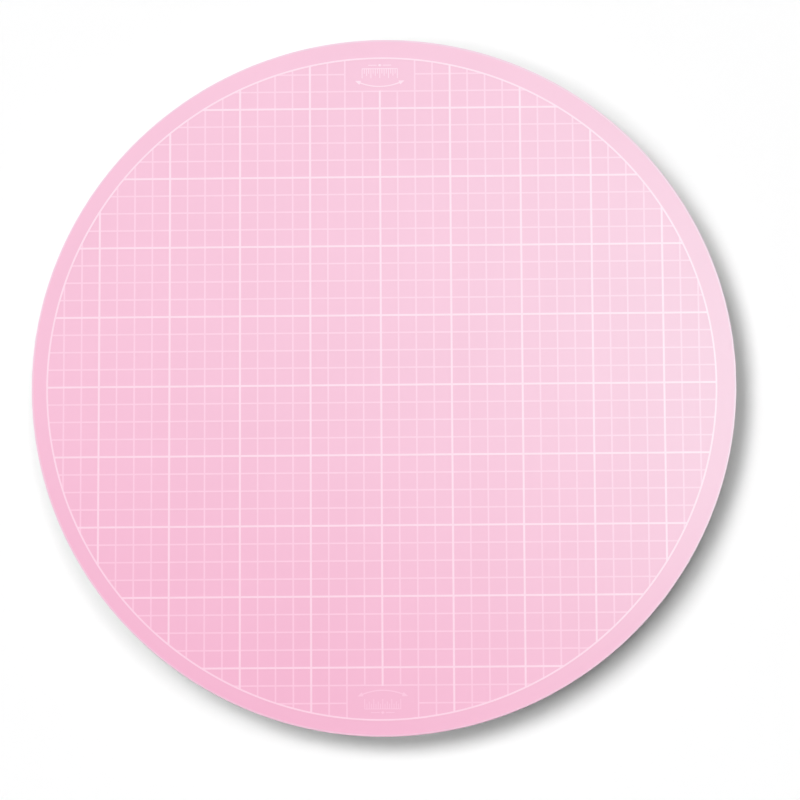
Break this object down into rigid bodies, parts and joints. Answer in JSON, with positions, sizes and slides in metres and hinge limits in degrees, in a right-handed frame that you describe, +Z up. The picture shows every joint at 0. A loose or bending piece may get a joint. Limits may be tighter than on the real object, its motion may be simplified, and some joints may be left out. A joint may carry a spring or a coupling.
{
  "type": "rotating self-healing cutting mat",
  "caption": "Round self-healing cutting mat bonded to a low turntable, with a ball race, a screwed hub and rubber feet, that turns freely under the work.",
  "frame": {"origin": "on the table, under the centre of the mat, in the plane of the feet's undersides", "axes": "+Z up, out of the cutting face, along the axis the mat turns on. The printed marks are read upright from the -Y side, and X and Y lie along the printed grid"},
  "size_m": [0.2532, 0.2532, 0.0145],
  "materials": {
    "cutting_pvc": "satin, fine grain",
    "core_pvc": "matte",
    "backing_pvc": "matte, fine grain",
    "adhesive_film": "matte",
    "moulded_abs": "fine spark texture",
    "cage_plastic": "semi-gloss",
    "acetal": "waxy, semi-gloss",
    "ball_steel": "polished",
    "plated_steel": "zinc plated",
    "foot_rubber": "matte",
    "print_ink": "screen-printed ink"
  },
  "bodies": {
    "base": {"base_plate": "moulded_abs", "pivot_bush": "acetal", "foot_glue": "adhesive_film", "rubber_foot_1": "foot_rubber", "rubber_foot_2": "foot_rubber", "rubber_foot_3": "foot_rubber", "rubber_foot_4": "foot_rubber", "rubber_foot_5": "foot_rubber", "rubber_foot_6": "foot_rubber"},
    "turntable": {"turntable_plate": "moulded_abs", "hub_washer": "plated_steel", "hub_screw": "plated_steel", "mat_adhesive": "adhesive_film", "mat_bottom_ply": "backing_pvc", "mat_core_ply": "core_pvc", "mat_top_ply": "cutting_pvc"},
    "cage": {"ball_cage": "cage_plastic"},
    "ball_01": {"bearing_ball_01": "ball_steel"},
    "ball_02": {"bearing_ball_02": "ball_steel"},
    "ball_03": {"bearing_ball_03": "ball_steel"},
    "ball_04": {"bearing_ball_04": "ball_steel"},
    "ball_05": {"bearing_ball_05": "ball_steel"},
    "ball_06": {"bearing_ball_06": "ball_steel"},
    "ball_07": {"bearing_ball_07": "ball_steel"},
    "ball_08": {"bearing_ball_08": "ball_steel"},
    "ball_09": {"bearing_ball_09": "ball_steel"},
    "ball_10": {"bearing_ball_10": "ball_steel"},
    "ball_11": {"bearing_ball_11": "ball_steel"},
    "ball_12": {"bearing_ball_12": "ball_steel"}
  },
  "joints": [
    {"name": "mat_spin", "type": "hinge", "parent": "base", "child": "turntable", "pos_m": [0, 0, 0.0062], "axis": [0, 0, 1], "continuous": true},
    {"name": "cage_spin", "type": "hinge", "parent": "base", "child": "cage", "pos_m": [0, 0, 0.0062], "axis": [0, 0, 1], "continuous": true},
    {"name": "ball_01_roll", "type": "hinge", "parent": "cage", "child": "ball_01", "pos_m": [0.0821, 0.022, 0.0062], "axis": [0.9659, 0.2588, 0], "continuous": true},
    {"name": "ball_02_roll", "type": "hinge", "parent": "cage", "child": "ball_02", "pos_m": [0.0601, 0.0601, 0.0062], "axis": [0.7071, 0.7071, 0], "continuous": true},
    {"name": "ball_03_roll", "type": "hinge", "parent": "cage", "child": "ball_03", "pos_m": [0.022, 0.0821, 0.0062], "axis": [0.2588, 0.9659, 0], "continuous": true},
    {"name": "ball_04_roll", "type": "hinge", "parent": "cage", "child": "ball_04", "pos_m": [-0.022, 0.0821, 0.0062], "axis": [-0.2588, 0.9659, 0], "continuous": true},
    {"name": "ball_05_roll", "type": "hinge", "parent": "cage", "child": "ball_05", "pos_m": [-0.0601, 0.0601, 0.0062], "axis": [-0.7071, 0.7071, 0], "continuous": true},
    {"name": "ball_06_roll", "type": "hinge", "parent": "cage", "child": "ball_06", "pos_m": [-0.0821, 0.022, 0.0062], "axis": [-0.9659, 0.2588, 0], "continuous": true},
    {"name": "ball_07_roll", "type": "hinge", "parent": "cage", "child": "ball_07", "pos_m": [-0.0821, -0.022, 0.0062], "axis": [-0.9659, -0.2588, 0], "continuous": true},
    {"name": "ball_08_roll", "type": "hinge", "parent": "cage", "child": "ball_08", "pos_m": [-0.0601, -0.0601, 0.0062], "axis": [-0.7071, -0.7071, 0], "continuous": true},
    {"name": "ball_09_roll", "type": "hinge", "parent": "cage", "child": "ball_09", "pos_m": [-0.022, -0.0821, 0.0062], "axis": [-0.2588, -0.9659, 0], "continuous": true},
    {"name": "ball_10_roll", "type": "hinge", "parent": "cage", "child": "ball_10", "pos_m": [0.022, -0.0821, 0.0062], "axis": [0.2588, -0.9659, 0], "continuous": true},
    {"name": "ball_11_roll", "type": "hinge", "parent": "cage", "child": "ball_11", "pos_m": [0.0601, -0.0601, 0.0062], "axis": [0.7071, -0.7071, 0], "continuous": true},
    {"name": "ball_12_roll", "type": "hinge", "parent": "cage", "child": "ball_12", "pos_m": [0.0821, -0.022, 0.0062], "axis": [0.9659, -0.2588, 0], "continuous": true}
  ],
  "couplings": [
    {"joint": "cage_spin", "follows": "mat_spin", "ratio": 0.5},
    {"joint": "ball_01_roll", "follows": "mat_spin", "ratio": -17},
    {"joint": "ball_02_roll", "follows": "mat_spin", "ratio": -17},
    {"joint": "ball_03_roll", "follows": "mat_spin", "ratio": -17},
    {"joint": "ball_04_roll", "follows": "mat_spin", "ratio": -17},
    {"joint": "ball_05_roll", "follows": "mat_spin", "ratio": -17},
    {"joint": "ball_06_roll", "follows": "mat_spin", "ratio": -17},
    {"joint": "ball_07_roll", "follows": "mat_spin", "ratio": -17},
    {"joint": "ball_08_roll", "follows": "mat_spin", "ratio": -17},
    {"joint": "ball_09_roll", "follows": "mat_spin", "ratio": -17},
    {"joint": "ball_10_roll", "follows": "mat_spin", "ratio": -17},
    {"joint": "ball_11_roll", "follows": "mat_spin", "ratio": -17},
    {"joint": "ball_12_roll", "follows": "mat_spin", "ratio": -17}
  ]
}
